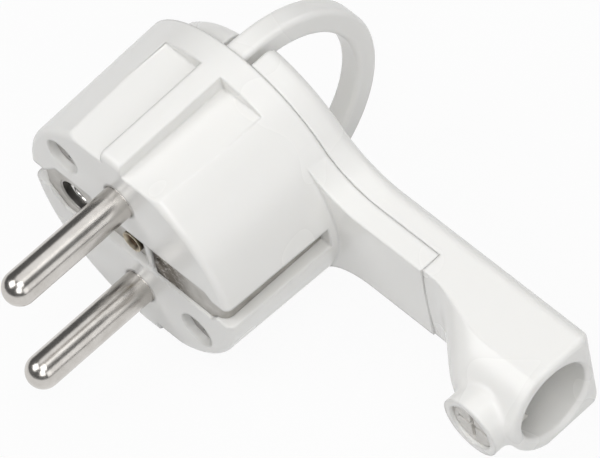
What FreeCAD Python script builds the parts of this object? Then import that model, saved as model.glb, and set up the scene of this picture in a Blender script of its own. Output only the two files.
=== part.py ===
import FreeCAD, Part
import math
import os
import Sketcher
from FreeCAD import Placement, Rotation, Vector

# An angled mains plug lying on its side, in millimetres.
# The origin is the middle of the contact face, halfway between the two pins.
# The pins point along -Y, the arm and its cord entry along +X, and +Z runs from pin to pin.

SIZES = [
    ("pin_diameter", 4.8, "round contact pins"),
    ("pin_length", 19.6, "from the contact face to the tip"),
    ("pin_spacing", 19.0, "between the pin axes"),
    ("pin_step", 0.25, "radius of a pin's root in the front wall over the pin's own"),
    ("drum_radius", 18.4, "drum at the contact face"),
    ("drum_draft", 0.6, "growth of its radius to the parting plane"),
    ("drum_depth", 21.8, "contact face to parting plane"),
    ("face_round", 1.0, "rounding round the contact face"),
    ("front_wall", 4.2, "thickness behind the contact face"),
    ("rib_width", 3.5, "guide rib in the middle of each flank"),
    ("panel_reach", 8.8, "outer side of the flats beside the rib"),
    ("panel_inset", 1.9, "flats below the drum's radius"),
    ("panel_band", 3.8, "full drum between the flats and the parting plane"),
    ("slot_width", 6.0, "strip slot right of the earth socket"),
    ("socket_slot_width", 8.8, "strip slot round the earth socket"),
    ("plate_reach", 4.2, "wide end of the strip from the socket's axis to the middle"),
    ("well_depth", 2.0, "bed of the strip in the middle"),
    ("well_margin", 0.9, "well beyond the bridge"),
    ("web_gap", 0.7, "bridge over the strip from the eyelet"),
    ("web_thickness", 1.0, "bridge over the strip along the arm"),
    ("web_top", 0.5, "bridge below the contact face"),
    ("web_height", 0.6, "bridge over the strip, front to back"),
    ("side_slot_width", 3.8, "slots for the side contacts"),
    ("side_slot_depth", 2.4, "slots for the side contacts, into the drum"),
    ("side_slot_band", 4.4, "full drum between these slots and the parting plane"),
    ("strip_thickness", 0.8, "sheet of the earth strip"),
    ("strip_recess", 0.45, "strip below the contact face"),
    ("strip_bed_gap", 0.05, "strip over its bed at its two ends"),
    ("strip_gap", 0.1, "clearance of the strip in its slots"),
    ("strip_bend", 1.5, "outer radius where the strip turns into the side slots"),
    ("strip_slope", 0.8, "run of the strip's steps down into the well"),
    ("earth_inset", 7.8, "earth socket's axis inside the drum's radius"),
    ("earth_bore", 4.9, "bore of the earth socket"),
    ("socket_wall", 0.6, "wall of the earth socket"),
    ("socket_neck_wall", 0.3, "neck of the earth socket in the strip"),
    ("socket_mouth", 0.5, "mouth of the earth socket below the contact face"),
    ("socket_flange", 0.4, "collar of the earth socket behind the carrier"),
    ("socket_flange_height", 0.8, "collar of the earth socket behind the carrier"),
    ("socket_back", 2.8, "rear end of the earth socket in front of the parting plane"),
    ("socket_head", 4.0, "solid end of the earth socket"),
    ("socket_slit", 0.8, "slits in the sleeve of the earth socket"),
    ("spring_sheet", 0.4, "spring ring round the earth socket"),
    ("spring_width", 1.6, "spring ring round the earth socket"),
    ("spring_opening", 1.2, "spring ring round the earth socket"),
    ("spring_gap", 1.8, "spring ring behind the collar of the earth socket"),
    ("screw_inset", 4.3, "housing screws' axes inside the drum's radius"),
    ("screw_angle", 41.8, "degrees of the housing screws from the arm's direction"),
    ("screw_diameter", 3.0, "housing screws"),
    ("screw_head", 5.2, "their heads"),
    ("screw_head_height", 2.0, "their heads"),
    ("screw_sink", 1.2, "their heads below the contact face"),
    ("screw_grip", 2.05, "their tips behind the seam"),
    ("post_diameter", 7.4, "posts round them in the front housing"),
    ("rear_post_diameter", 4.4, "posts round them in the rear cover"),
    ("insert_diameter", 3.8, "brass inserts in the rear cover"),
    ("insert_length", 2.2, "brass inserts in the rear cover"),
    ("side_wall", 1.8, "wall between the side slots and the wiring space"),
    ("foot_wall", 0.9, "wall between the ring's feet and the wiring space"),
    ("cavity_corner", 6.0, "bevels of the wiring space"),
    ("cover_rim", 1.0, "cover's wiring space inside the housing's, all round"),
    ("seam_gap", 0.08, "open line between the two shells"),
    ("arm_depth", 3.3, "front half of the arm"),
    ("arm_blend", 12.0, "hollow curves between drum and arm"),
    ("arm_end", 57.9, "face with the cord entry"),
    ("arm_crown", 0.25, "arm's sides behind its front where the nose begins"),
    ("draft_margin", 0.05, "arm's outline inside the drum's slope"),
    ("cover_depth", 4.25, "rear cover at the drum"),
    ("cover_wall", 1.8, "back wall of the rear cover"),
    ("shoulder_step", 2.5, "cover inside the drum's rim on the side away from the arm"),
    ("shoulder_round", 2.4, "its back edge"),
    ("back_round", 2.0, "back edge of the cover and the arm"),
    ("channel_height", 10.4, "wire channel in the arm"),
    ("channel_depth", 1.6, "wire channel in the front half of the arm"),
    ("sleeve_length", 1.15, "rear cover round the arm before the nose begins to widen"),
    ("flare_length", 12.4, "length over which the nose widens"),
    ("nose_length", 9.1, "length of the full nose"),
    ("nose_front_wall", 1.9, "round wall of the cord entry"),
    ("nose_side_wall", 1.6, "flat walls of the cord entry"),
    ("nose_shoulder", 2.4, "edge of the flat sides in front of the cord's axis"),
    ("cord_bore", 11.2, "cord entry"),
    ("cord_bore_depth", 11.0, "cord entry"),
    ("entry_chamfer", 0.5, "rim of the cord entry"),
    ("boss_inset", 5.5, "clamp screw's axis from the face with the cord entry"),
    ("boss_diameter", 9.0, "boss of the clamp screw"),
    ("boss_height", 2.2, "boss of the clamp screw above the nose"),
    ("end_round", 0.8, "edge round the end of the nose"),
    ("boss_round", 1.2, "hollow round the foot of the boss"),
    ("clamp_screw_head", 6.7, "clamp screw"),
    ("clamp_head_height", 1.8, "clamp screw"),
    ("clamp_head_sink", 0.5, "clamp screw's head below the end of the boss"),
    ("clamp_screw_diameter", 3.5, "clamp screw"),
    ("clamp_nut_width", 6.0, "square nut of the clamp screw"),
    ("clamp_nut_height", 1.8, "square nut of the clamp screw"),
    ("clamp_seat_sink", 0.9, "seat of the nut in the wall of the cord entry"),
    ("clamp_screw_tip", 0.3, "tip of the clamp screw behind its nut"),
    ("saddle_web", 1.0, "pressure plate at the middle of its hollow"),
    ("saddle_length", 5.0, "pressure plate on the cord"),
    ("saddle_height", 2.0, "pressure plate on the cord"),
    ("saddle_hollow", 5.0, "radius of its hollow side"),
    ("ring_width", 3.5, "pull ring along the arm"),
    ("ring_inset", 0.6, "pull ring inside the drum's rim"),
    ("ring_thickness", 3.9, "pull ring's legs"),
    ("ring_outer_leg", 2.1, "straight outside of a leg behind the parting plane"),
    ("ring_inner_leg", 2.7, "straight inside of a leg behind the parting plane"),
    ("ring_round", 0.7, "edges of the pull ring"),
    ("foot_width", 8.8, "feet of the pull ring"),
    ("foot_height", 2.6, "feet of the pull ring"),
    ("foot_thickness", 1.3, "feet of the pull ring in the front housing"),
    ("notch_half", 3.3, "notch for the pull ring in the cover"),
    ("carrier_thickness", 4.0, "pin carrier behind the front wall"),
    ("collar_step", 0.5, "collar of a pin round its terminal"),
    ("collar_height", 2.0, "collar of a pin"),
    ("terminal_diameter", 6.0, "terminal of a pin"),
    ("terminal_back", 4.8, "rear end of a terminal in front of the parting plane"),
    ("wire_hole", 2.8, "cross holes of the pins for their wires"),
    ("earth_wire_hole", 2.2, "cross hole of the earth socket for its wire"),
    ("wire_grip", 0.6, "tips of the terminal screws behind the axes of the cross holes"),
    ("terminal_screw", 3.0, "terminal screws"),
    ("terminal_screw_head", 5.4, "terminal screws"),
    ("terminal_head_height", 1.7, "terminal screws"),
    ("driver_slot", 0.8, "slots of the terminal screws"),
    ("eyelet_outer", 3.2, "hollow rivet on the axis"),
    ("eyelet_bore", 1.9, "hollow rivet on the axis"),
    ("eyelet_top", 0.3, "its rim below the contact face"),
    ("eyelet_lip", 0.15, "flat of its rim, outside its funnel"),
    ("eyelet_funnel", 0.6, "depth of its funnel"),
    ("eyelet_flange", 0.8, "its collar behind the front wall"),
    ("eyelet_flange_height", 0.5, "its collar behind the front wall"),
    ("rivet_diameter", 1.6, "rivet of the strip"),
    ("rivet_head", 2.2, "heads of the rivet of the strip"),
    ("rivet_head_height", 0.35, "front head of the rivet of the strip"),
    ("rivet_back_height", 0.7, "rear head of the rivet of the strip"),
    ("rivet_crown", 0.3, "bevel of the front head"),
    ("recess_width", 0.7, "arms of the cross recesses"),
    ("recess_depth", 0.8, "cross recesses"),
    ("recess_margin", 0.8, "rim of a head round its cross recess"),
    ("fit", 0.1, "radial clearance of inner pieces"),
    ("overlap", 0.5, "depth by which joined forms run into each other"),
    ("spare", 3.0, "how far a cutter runs past what it cuts"),
]

doc = FreeCAD.newDocument("angled_plug")
sheet = doc.addObject("Spreadsheet::Sheet", "Sizes")


class Size:
    """A size of the sheet, or a sum of them: its expression and its present number."""

    def __init__(self, text, number):
        self.text = text
        self.number = number

    def __add__(self, other):
        return join(self, "+", other, self.number + number_of(other))

    def __radd__(self, other):
        return join(other, "+", self, number_of(other) + self.number)

    def __sub__(self, other):
        return join(self, "-", other, self.number - number_of(other))

    def __rsub__(self, other):
        return join(other, "-", self, number_of(other) - self.number)

    def __mul__(self, other):
        return join(self, "*", other, self.number * number_of(other))

    def __rmul__(self, other):
        return join(other, "*", self, number_of(other) * self.number)

    def __truediv__(self, other):
        return join(self, "/", other, self.number / number_of(other))

    def __neg__(self):
        return Size("(-1 * " + self.text + ")", -self.number)


def number_of(item):
    return item.number if isinstance(item, Size) else float(item)


def text_of(item):
    return item.text if isinstance(item, Size) else repr(float(item))


def join(left, sign, right, number):
    return Size("(" + text_of(left) + " " + sign + " " + text_of(right) + ")", number)


def root(size):
    return Size("sqrt(" + size.text + ")", math.sqrt(size.number))


def cosine(size):
    return Size("cos(" + size.text + " * 1 deg)", math.cos(math.radians(size.number)))


def sine(size):
    return Size("sin(" + size.text + " * 1 deg)", math.sin(math.radians(size.number)))


class Names:
    """The sizes by name."""


d = Names()
for row, (alias, value, note) in enumerate(SIZES, start=1):
    sheet.set("A" + str(row), alias)
    sheet.set("B" + str(row), str(value))
    sheet.set("C" + str(row), note)
    sheet.setAlias("B" + str(row), alias)
    setattr(d, alias, Size("Sizes." + alias, float(value)))

# Drum, from the contact face back to the parting plane.
d.rim_radius = d.drum_radius + d.drum_draft
d.seam = d.drum_depth + d.seam_gap
d.panel_height = d.drum_radius - d.panel_inset
d.panel_depth = d.drum_depth - d.panel_band
d.slot_reach = d.drum_radius - d.side_slot_depth
d.side_slot_length = d.drum_depth - d.side_slot_band
d.screw_x = (d.drum_radius - d.screw_inset) * cosine(d.screw_angle)
d.screw_z = (d.drum_radius - d.screw_inset) * sine(d.screw_angle)
d.screw_length = d.seam + d.screw_grip

# Contacts, and the bed of the earth strip across the contact face.
d.slot_depth = d.strip_recess + d.strip_thickness + d.strip_bed_gap
d.earth_offset = d.drum_radius - d.earth_inset
d.well_left = d.earth_offset - d.plate_reach
d.web_start = d.eyelet_outer / 2 + d.web_gap
d.web_end = d.web_start + d.web_thickness
d.well_right = d.web_end + d.well_margin
d.rivet_x = d.well_right + d.fit + d.rivet_head / 2
d.bend_start = d.slot_reach + d.strip_gap + d.strip_thickness - d.strip_bend
d.carrier_back = d.front_wall + d.carrier_thickness
d.pin_root = d.pin_diameter + 2 * d.pin_step
d.collar_diameter = d.terminal_diameter + 2 * d.collar_step
d.terminal_end = d.drum_depth - d.terminal_back
d.socket_length = d.drum_depth - d.socket_back
d.socket_bore_end = d.socket_length - d.socket_head
d.socket_collar_end = d.carrier_back + d.socket_flange_height

# Pull ring, and the wiring space between its feet and between the side slots.
d.ring_outer = d.rim_radius - d.ring_inset
d.ring_inner = d.ring_outer - d.ring_thickness
d.ring_outer_centre = d.drum_depth + d.ring_outer_leg
d.ring_inner_centre = d.drum_depth + d.ring_inner_leg
d.cavity_x = d.slot_reach - d.side_wall
d.cavity_z = d.ring_inner - d.foot_wall

# Rear cover, arm and cord entry, which shares its back with the arm.
d.shoulder_radius = d.rim_radius - d.shoulder_step
d.back_face = d.seam + d.cover_depth
d.arm_front = d.drum_depth - d.arm_depth
d.arm_height = d.cord_bore + 2 * d.nose_side_wall
d.nose_radius = d.cord_bore / 2 + d.nose_front_wall
d.cord_axis = d.back_face - d.nose_radius
d.nose_front = d.cord_axis - d.nose_radius
d.nose_ridge = d.cord_axis - d.nose_shoulder
d.channel_front = d.drum_depth - d.channel_depth
d.flare_end = d.arm_end - d.nose_length
d.flare_start = d.flare_end - d.flare_length
d.arm_joint = d.flare_start - d.sleeve_length - d.seam_gap

# Cord clamp: screw, nut and pressure plate in a row across the cord entry.
d.boss_x = d.arm_end - d.boss_inset
d.boss_face = d.nose_front - d.boss_height
d.clamp_seat = d.cord_axis - d.cord_bore / 2 - d.clamp_seat_sink
d.saddle_seat = d.clamp_seat + d.clamp_nut_height + d.clamp_screw_tip

SUB_PARTS = []
ARC_START = 1
ARC_END = 2
CENTRE = 3
ORIGIN = -1


def new_body(name):
    body = doc.addObject("PartDesign::Body", name)
    body.Label = name
    SUB_PARTS.append(body)
    return body


def new_sketch(body, name, role, offset=0.0):
    """A sketch on an origin plane of the body, moved along that plane's normal."""
    sketch = body.newObject("Sketcher::SketchObject", body.Name + "_" + name)
    plane = next(item for item in body.Origin.OriginFeatures if item.Role == role)
    sketch.AttachmentSupport = [(plane, "")]
    sketch.MapMode = "FlatFace"
    sketch.AttachmentOffset = Placement(Vector(0, 0, number_of(offset)), Rotation())
    if isinstance(offset, Size):
        sketch.setExpression("AttachmentOffset.Base.z", offset.text)
    return sketch


def across(body, name, depth=0.0):
    """A sketch facing the pins, at a depth behind the contact face. Its y is Z."""
    return new_sketch(body, name, "XZ_Plane", -1 * depth)


def dimension(sketch, kind, size, *points):
    """A driving dimension whose value follows the sheet."""
    index = sketch.addConstraint(Sketcher.Constraint(kind, *points, abs(number_of(size))))
    if isinstance(size, Size):
        signed = size if size.number >= 0 else -size
        sketch.setExpression("Constraints[" + str(index) + "]", signed.text)


def place_coordinate(sketch, geometry, point, kind, size):
    """Ties one coordinate of a point to the sketch's origin, or to an axis through it."""
    if number_of(size) == 0:
        axis = -2 if kind == "DistanceX" else -1
        sketch.addConstraint(Sketcher.Constraint("PointOnObject", geometry, point, axis))
    elif number_of(size) > 0:
        dimension(sketch, kind, size, ORIGIN, 1, geometry, point)
    else:
        dimension(sketch, kind, size, geometry, point, ORIGIN, 1)


def place_point(sketch, geometry, point, x, y):
    place_coordinate(sketch, geometry, point, "DistanceX", x)
    place_coordinate(sketch, geometry, point, "DistanceY", y)


def add_polygon(sketch, points):
    """A closed outline of straight lines through the given corners."""
    corners = [Vector(number_of(x), number_of(y), 0) for x, y in points]
    first = sketch.GeometryCount
    count = len(corners)
    for i in range(count):
        sketch.addGeometry(Part.LineSegment(corners[i], corners[(i + 1) % count]))
    for i in range(count):
        following = first + (i + 1) % count
        sketch.addConstraint(Sketcher.Constraint("Coincident", first + i, 2, following, 1))
    for i, (x, y) in enumerate(points):
        place_point(sketch, first + i, 1, x, y)


def add_rectangle(sketch, left, low, right, high):
    add_polygon(sketch, [(left, low), (right, low), (right, high), (left, high)])


def add_circle(sketch, x, y, radius):
    centre = Vector(number_of(x), number_of(y), 0)
    index = sketch.addGeometry(Part.Circle(centre, Vector(0, 0, 1), number_of(radius)))
    place_point(sketch, index, CENTRE, x, y)
    dimension(sketch, "Radius", radius, index)


def add_arc(sketch, x, y, radius, start, end):
    """An arc that runs anticlockwise between two points, with no constraints yet."""
    centre = Vector(number_of(x), number_of(y), 0)
    angles = []
    for px, py in (start, end):
        angles.append(math.atan2(number_of(py) - centre.y, number_of(px) - centre.x))
    circle = Part.Circle(centre, Vector(0, 0, 1), number_of(radius))
    return sketch.addGeometry(Part.ArcOfCircle(circle, angles[0], angles[1]))


def extrude(body, kind, sketch, name, length, reversed_way=False, symmetric=False):
    feature = body.newObject("PartDesign::" + kind, body.Name + "_" + name)
    feature.Profile = sketch
    feature.SideType = "Symmetric" if symmetric else "One side"
    feature.Length = number_of(length)
    if isinstance(length, Size):
        feature.setExpression("Length", length.text)
    feature.Reversed = reversed_way
    sketch.Visibility = False
    return feature


def pad_back(body, sketch, name, length):
    """Adds material from a facing sketch towards the back, along +Y."""
    return extrude(body, "Pad", sketch, name, length, reversed_way=True)


def cut_back(body, sketch, name, length):
    """Cuts from a facing sketch towards the back, along +Y."""
    return extrude(body, "Pocket", sketch, name, length)


def cut_forward(body, sketch, name, length):
    """Cuts from a facing sketch towards the pins, along -Y."""
    return extrude(body, "Pocket", sketch, name, length, reversed_way=True)


def revolve(body, name, profile):
    """Turns a profile of (radius, distance along Y) corners round the body's Y axis."""
    sketch = new_sketch(body, name + "_profile", "XY_Plane")
    add_polygon(sketch, profile)
    feature = body.newObject("PartDesign::Revolution", body.Name + "_" + name)
    feature.Profile = sketch
    feature.ReferenceAxis = (sketch, ["V_Axis"])
    feature.Angle = 360
    sketch.Visibility = False
    return feature


def dress(body, kind, name, size, test):
    """A fillet or chamfer on every edge of the body that passes the test."""
    doc.recompute()
    tip = body.Tip
    chosen = []
    for number, edge in enumerate(tip.Shape.Edges, start=1):
        if test(edge):
            chosen.append("Edge" + str(number))
    if not chosen:
        raise RuntimeError(body.Name + " " + name + " finds no edge")
    feature = body.newObject("PartDesign::" + kind, body.Name + "_" + name)
    feature.Base = (tip, chosen)
    attribute = "Radius" if kind == "Fillet" else "Size"
    setattr(feature, attribute, number_of(size))
    if isinstance(size, Size):
        feature.setExpression(attribute, size.text)
    return feature


def move(body, x=0.0, y=0.0, z=0.0):
    """Puts a finished body in its place, from the sizes."""
    body.Placement = Placement(Vector(number_of(x), number_of(y), number_of(z)), Rotation())
    for axis, size in (("x", x), ("y", y), ("z", z)):
        if isinstance(size, Size):
            body.setExpression("Placement.Base." + axis, size.text)


def near(value, size, reach=0.01):
    return abs(value - number_of(size)) < reach


def octagon(half_x, half_z, corner):
    """Corners of a bevelled rectangle about the axis."""
    inner_x = half_x - corner
    inner_z = half_z - corner
    return [
        (half_x, -inner_z), (half_x, inner_z), (inner_x, half_z), (-inner_x, half_z),
        (-half_x, inner_z), (-half_x, -inner_z), (-inner_x, -half_z), (inner_x, -half_z),
    ]


def cross_recess(half_length, half_width):
    """Corners of a cross for a screwdriver."""
    long, short = half_length, half_width
    return [
        (long, -short), (long, short), (short, short), (short, long),
        (-short, long), (-short, short), (-long, short), (-long, -short),
        (-short, -short), (-short, -long), (short, -long), (short, -short),
    ]


def arm_outline(body, name, depth, radius, start, end):
    """Drum arc, hollow blends and the straight sides of the arm, as one closed outline."""
    half = d.arm_height / 2
    blend = d.arm_blend
    reach = root((radius + blend) * (radius + blend) - (half + blend) * (half + blend))
    top = half + blend
    share = radius / (radius + blend)
    meet_x = reach * share
    meet_z = top * share
    edge_z = root(radius * radius - start * start)
    sketch = across(body, name, depth)

    drum_up = add_arc(sketch, 0, 0, radius, (meet_x, meet_z), (start, edge_z))
    blend_up = add_arc(sketch, reach, top, blend, (meet_x, meet_z), (reach, half))
    corners = [(reach, half), (end, half), (end, -half), (reach, -half)]
    vectors = [Vector(number_of(x), number_of(z), 0) for x, z in corners]
    side_up = sketch.addGeometry(Part.LineSegment(vectors[0], vectors[1]))
    end_line = sketch.addGeometry(Part.LineSegment(vectors[1], vectors[2]))
    side_down = sketch.addGeometry(Part.LineSegment(vectors[2], vectors[3]))
    blend_down = add_arc(sketch, reach, -top, blend, (reach, -half), (meet_x, -meet_z))
    drum_down = add_arc(sketch, 0, 0, radius, (start, -edge_z), (meet_x, -meet_z))
    low = Vector(number_of(start), -number_of(edge_z), 0)
    high = Vector(number_of(start), number_of(edge_z), 0)
    chord = sketch.addGeometry(Part.LineSegment(low, high))

    for arc in (drum_up, drum_down):
        sketch.addConstraint(Sketcher.Constraint("Coincident", arc, CENTRE, ORIGIN, 1))
        dimension(sketch, "Radius", radius, arc)
    for arc in (blend_up, blend_down):
        dimension(sketch, "Radius", blend, arc)
    for pair in (
        (drum_up, ARC_START, blend_up, ARC_START), (blend_up, ARC_END, side_up, 1),
        (side_down, 2, blend_down, ARC_START), (blend_down, ARC_END, drum_down, ARC_END),
    ):
        sketch.addConstraint(Sketcher.Constraint("Tangent", *pair))
    for pair in (
        (side_up, 2, end_line, 1), (end_line, 2, side_down, 1),
        (drum_down, ARC_START, chord, 1), (chord, 2, drum_up, ARC_END),
    ):
        sketch.addConstraint(Sketcher.Constraint("Coincident", *pair))
    for line in (side_up, side_down):
        sketch.addConstraint(Sketcher.Constraint("Horizontal", line))
    for line in (end_line, chord):
        sketch.addConstraint(Sketcher.Constraint("Vertical", line))
    place_coordinate(sketch, chord, 1, "DistanceX", start)
    place_coordinate(sketch, end_line, 1, "DistanceX", end)
    place_coordinate(sketch, side_up, 2, "DistanceY", half)
    place_coordinate(sketch, side_down, 1, "DistanceY", -half)
    return sketch


def nose_section(body, name, x, front, ridge, back):
    """A section across the arm: flat sides and back, and one arc for the front."""
    half = d.arm_height / 2
    rise = ridge - front
    radius = (half * half + rise * rise) / (2 * rise)
    middle = front + radius
    sketch = new_sketch(body, name, "YZ_Plane", x)
    front_arc = add_arc(sketch, middle, 0, radius, (ridge, half), (ridge, -half))
    corners = [(ridge, -half), (back, -half), (back, half), (ridge, half)]
    vectors = [Vector(number_of(y), number_of(z), 0) for y, z in corners]
    low = sketch.addGeometry(Part.LineSegment(vectors[0], vectors[1]))
    rear = sketch.addGeometry(Part.LineSegment(vectors[1], vectors[2]))
    high = sketch.addGeometry(Part.LineSegment(vectors[2], vectors[3]))
    place_point(sketch, front_arc, CENTRE, middle, 0)
    dimension(sketch, "Radius", radius, front_arc)
    for pair in (
        (front_arc, ARC_END, low, 1), (low, 2, rear, 1),
        (rear, 2, high, 1), (high, 2, front_arc, ARC_START),
    ):
        sketch.addConstraint(Sketcher.Constraint("Coincident", *pair))
    sketch.addConstraint(Sketcher.Constraint("Horizontal", low))
    sketch.addConstraint(Sketcher.Constraint("Horizontal", high))
    sketch.addConstraint(Sketcher.Constraint("Vertical", rear))
    place_coordinate(sketch, low, 2, "DistanceY", -half)
    place_coordinate(sketch, high, 1, "DistanceY", half)
    place_coordinate(sketch, rear, 1, "DistanceX", back)
    return sketch


FLARE_SECTIONS = 6
HOUSING_SCREWS = ((-1, 1), (1, -1))
PIN_SIDES = (("line_pin", 1), ("neutral_pin", -1))


def front_housing():
    """Drum with guide ribs, strip slots, wiring space and the front half of the arm."""
    body = new_body("front_housing")
    revolve(body, "drum", [
        (0, 0), (d.drum_radius, 0), (d.rim_radius, d.drum_depth), (0, d.drum_depth)])
    dress(body, "Fillet", "face_edge", d.face_round,
          lambda edge: near(edge.BoundBox.YMax, 0) and near(edge.BoundBox.XMax, d.drum_radius))

    arm_depth = d.arm_front / d.drum_depth
    slope_radius = d.drum_radius + (d.rim_radius - d.drum_radius) * arm_depth
    outline = arm_outline(body, "arm_outline", d.arm_front, slope_radius - d.draft_margin,
                          d.notch_half, d.arm_joint)
    pad_back(body, outline, "arm", d.drum_depth - d.arm_front)

    flats = across(body, "flats")
    outside = d.rim_radius + d.spare
    for side in (1, -1):
        for end in (1, -1):
            xs = sorted((side * d.rib_width / 2, side * d.panel_reach), key=number_of)
            zs = sorted((end * d.panel_height, end * outside), key=number_of)
            add_rectangle(flats, xs[0], zs[0], xs[1], zs[1])
    cut_back(body, flats, "flat_cut", d.panel_depth)

    side_slots = across(body, "side_slots")
    half_slot = d.side_slot_width / 2
    add_rectangle(side_slots, d.slot_reach, -half_slot, outside, half_slot)
    add_rectangle(side_slots, -outside, -half_slot, -d.slot_reach, half_slot)
    cut_back(body, side_slots, "side_slot_cut", d.side_slot_length)

    strip_bed = across(body, "strip_bed")
    half_left = d.socket_slot_width / 2
    half_right = d.slot_width / 2
    bed_end = d.bend_start + d.strip_gap
    left_bevel = bed_end - (half_left - half_slot)
    right_bevel = bed_end - (half_right - half_slot)
    lower = [
        (-d.slot_reach, -half_slot), (-bed_end, -half_slot), (-left_bevel, -half_left),
        (-d.well_left, -half_left), (-d.well_left, -half_right),
        (right_bevel, -half_right), (bed_end, -half_slot), (d.slot_reach, -half_slot)]
    add_polygon(strip_bed, lower + [(x, -z) for x, z in reversed(lower)])
    cut_back(body, strip_bed, "strip_bed_cut", d.slot_depth)
    dress(body, "Fillet", "bend_edge", d.strip_bend - d.strip_thickness,
          lambda edge: near(edge.BoundBox.YMax, d.slot_depth)
          and near(edge.BoundBox.YMin, d.slot_depth)
          and near(abs(edge.CenterOfMass.x), d.slot_reach)
          and near(edge.Length, d.side_slot_width))
    well = across(body, "well")
    add_rectangle(well, -d.well_left, -half_right, d.well_right, half_right)
    cut_back(body, well, "well_cut", d.well_depth)
    bridge = across(body, "bridge", d.web_top)
    half_bridge = half_right + d.overlap
    add_rectangle(bridge, d.web_start, -half_bridge, d.web_end, half_bridge)
    pad_back(body, bridge, "bridge_pad", d.web_height)

    space = across(body, "wiring_space", d.drum_depth)
    add_polygon(space, octagon(d.cavity_x, d.cavity_z, d.cavity_corner))
    cut_forward(body, space, "wiring_cut", d.drum_depth - d.front_wall)
    wells = across(body, "contact_wells", d.drum_depth)
    for _, end in PIN_SIDES:
        add_circle(wells, 0, end * d.pin_spacing / 2, d.collar_diameter / 2 + d.fit)
    spring_radius = d.earth_bore / 2 + d.socket_wall + d.spring_sheet
    add_circle(wells, -d.earth_offset, 0, spring_radius + d.fit)
    cut_forward(body, wells, "contact_well_cut", d.drum_depth - d.front_wall)
    channel = across(body, "wire_channel", d.drum_depth)
    half_channel = d.channel_height / 2
    add_rectangle(channel, d.cavity_x - d.overlap, -half_channel,
                  d.arm_joint + d.spare, half_channel)
    cut_forward(body, channel, "channel_cut", d.channel_depth)

    post_start = d.front_wall - d.overlap
    posts = across(body, "posts", post_start)
    for side, end in HOUSING_SCREWS:
        add_circle(posts, side * d.screw_x, end * d.screw_z, d.post_diameter / 2)
    pad_back(body, posts, "posts_pad", d.seam - post_start)
    head_wells = across(body, "head_wells")
    shanks = across(body, "shank_holes")
    for side, end in HOUSING_SCREWS:
        x, z = side * d.screw_x, end * d.screw_z
        add_circle(head_wells, x, z, d.screw_head / 2 + d.fit)
        add_circle(shanks, x, z, d.screw_diameter / 2 + d.fit)
    cut_back(body, head_wells, "head_well_cut", d.screw_sink + d.screw_head_height)
    cut_back(body, shanks, "shank_cut", d.drum_depth + d.spare)

    holes = across(body, "contact_holes")
    for _, end in PIN_SIDES:
        add_circle(holes, 0, end * d.pin_spacing / 2, d.pin_diameter / 2 + d.fit)
    add_circle(holes, -d.earth_offset, 0, d.earth_bore / 2 + d.socket_wall + d.fit)
    add_circle(holes, 0, 0, d.eyelet_outer / 2 + d.fit)
    add_circle(holes, d.rivet_x, 0, d.rivet_diameter / 2 + d.fit)
    cut_back(body, holes, "contact_hole_cut", d.front_wall + d.spare)
    roots = across(body, "root_holes", d.fit)
    for _, end in PIN_SIDES:
        add_circle(roots, 0, end * d.pin_spacing / 2, d.pin_root / 2 + d.fit)
    cut_back(body, roots, "root_hole_cut", d.front_wall + d.spare)

    feet = across(body, "foot_pockets", d.drum_depth)
    half_foot = d.foot_width / 2 + d.fit
    half_ring = d.ring_width / 2 + d.fit
    foot_low = d.ring_inner - d.fit
    foot_high = d.ring_inner + d.foot_height + d.fit
    leg_high = d.ring_outer + d.fit
    for end in (1, -1):
        add_polygon(feet, [
            (-half_foot, end * foot_low), (half_foot, end * foot_low),
            (half_foot, end * foot_high), (half_ring, end * foot_high),
            (half_ring, end * leg_high), (-half_ring, end * leg_high),
            (-half_ring, end * foot_high), (-half_foot, end * foot_high)])
    cut_forward(body, feet, "foot_cut", d.foot_thickness)
    return body


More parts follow.
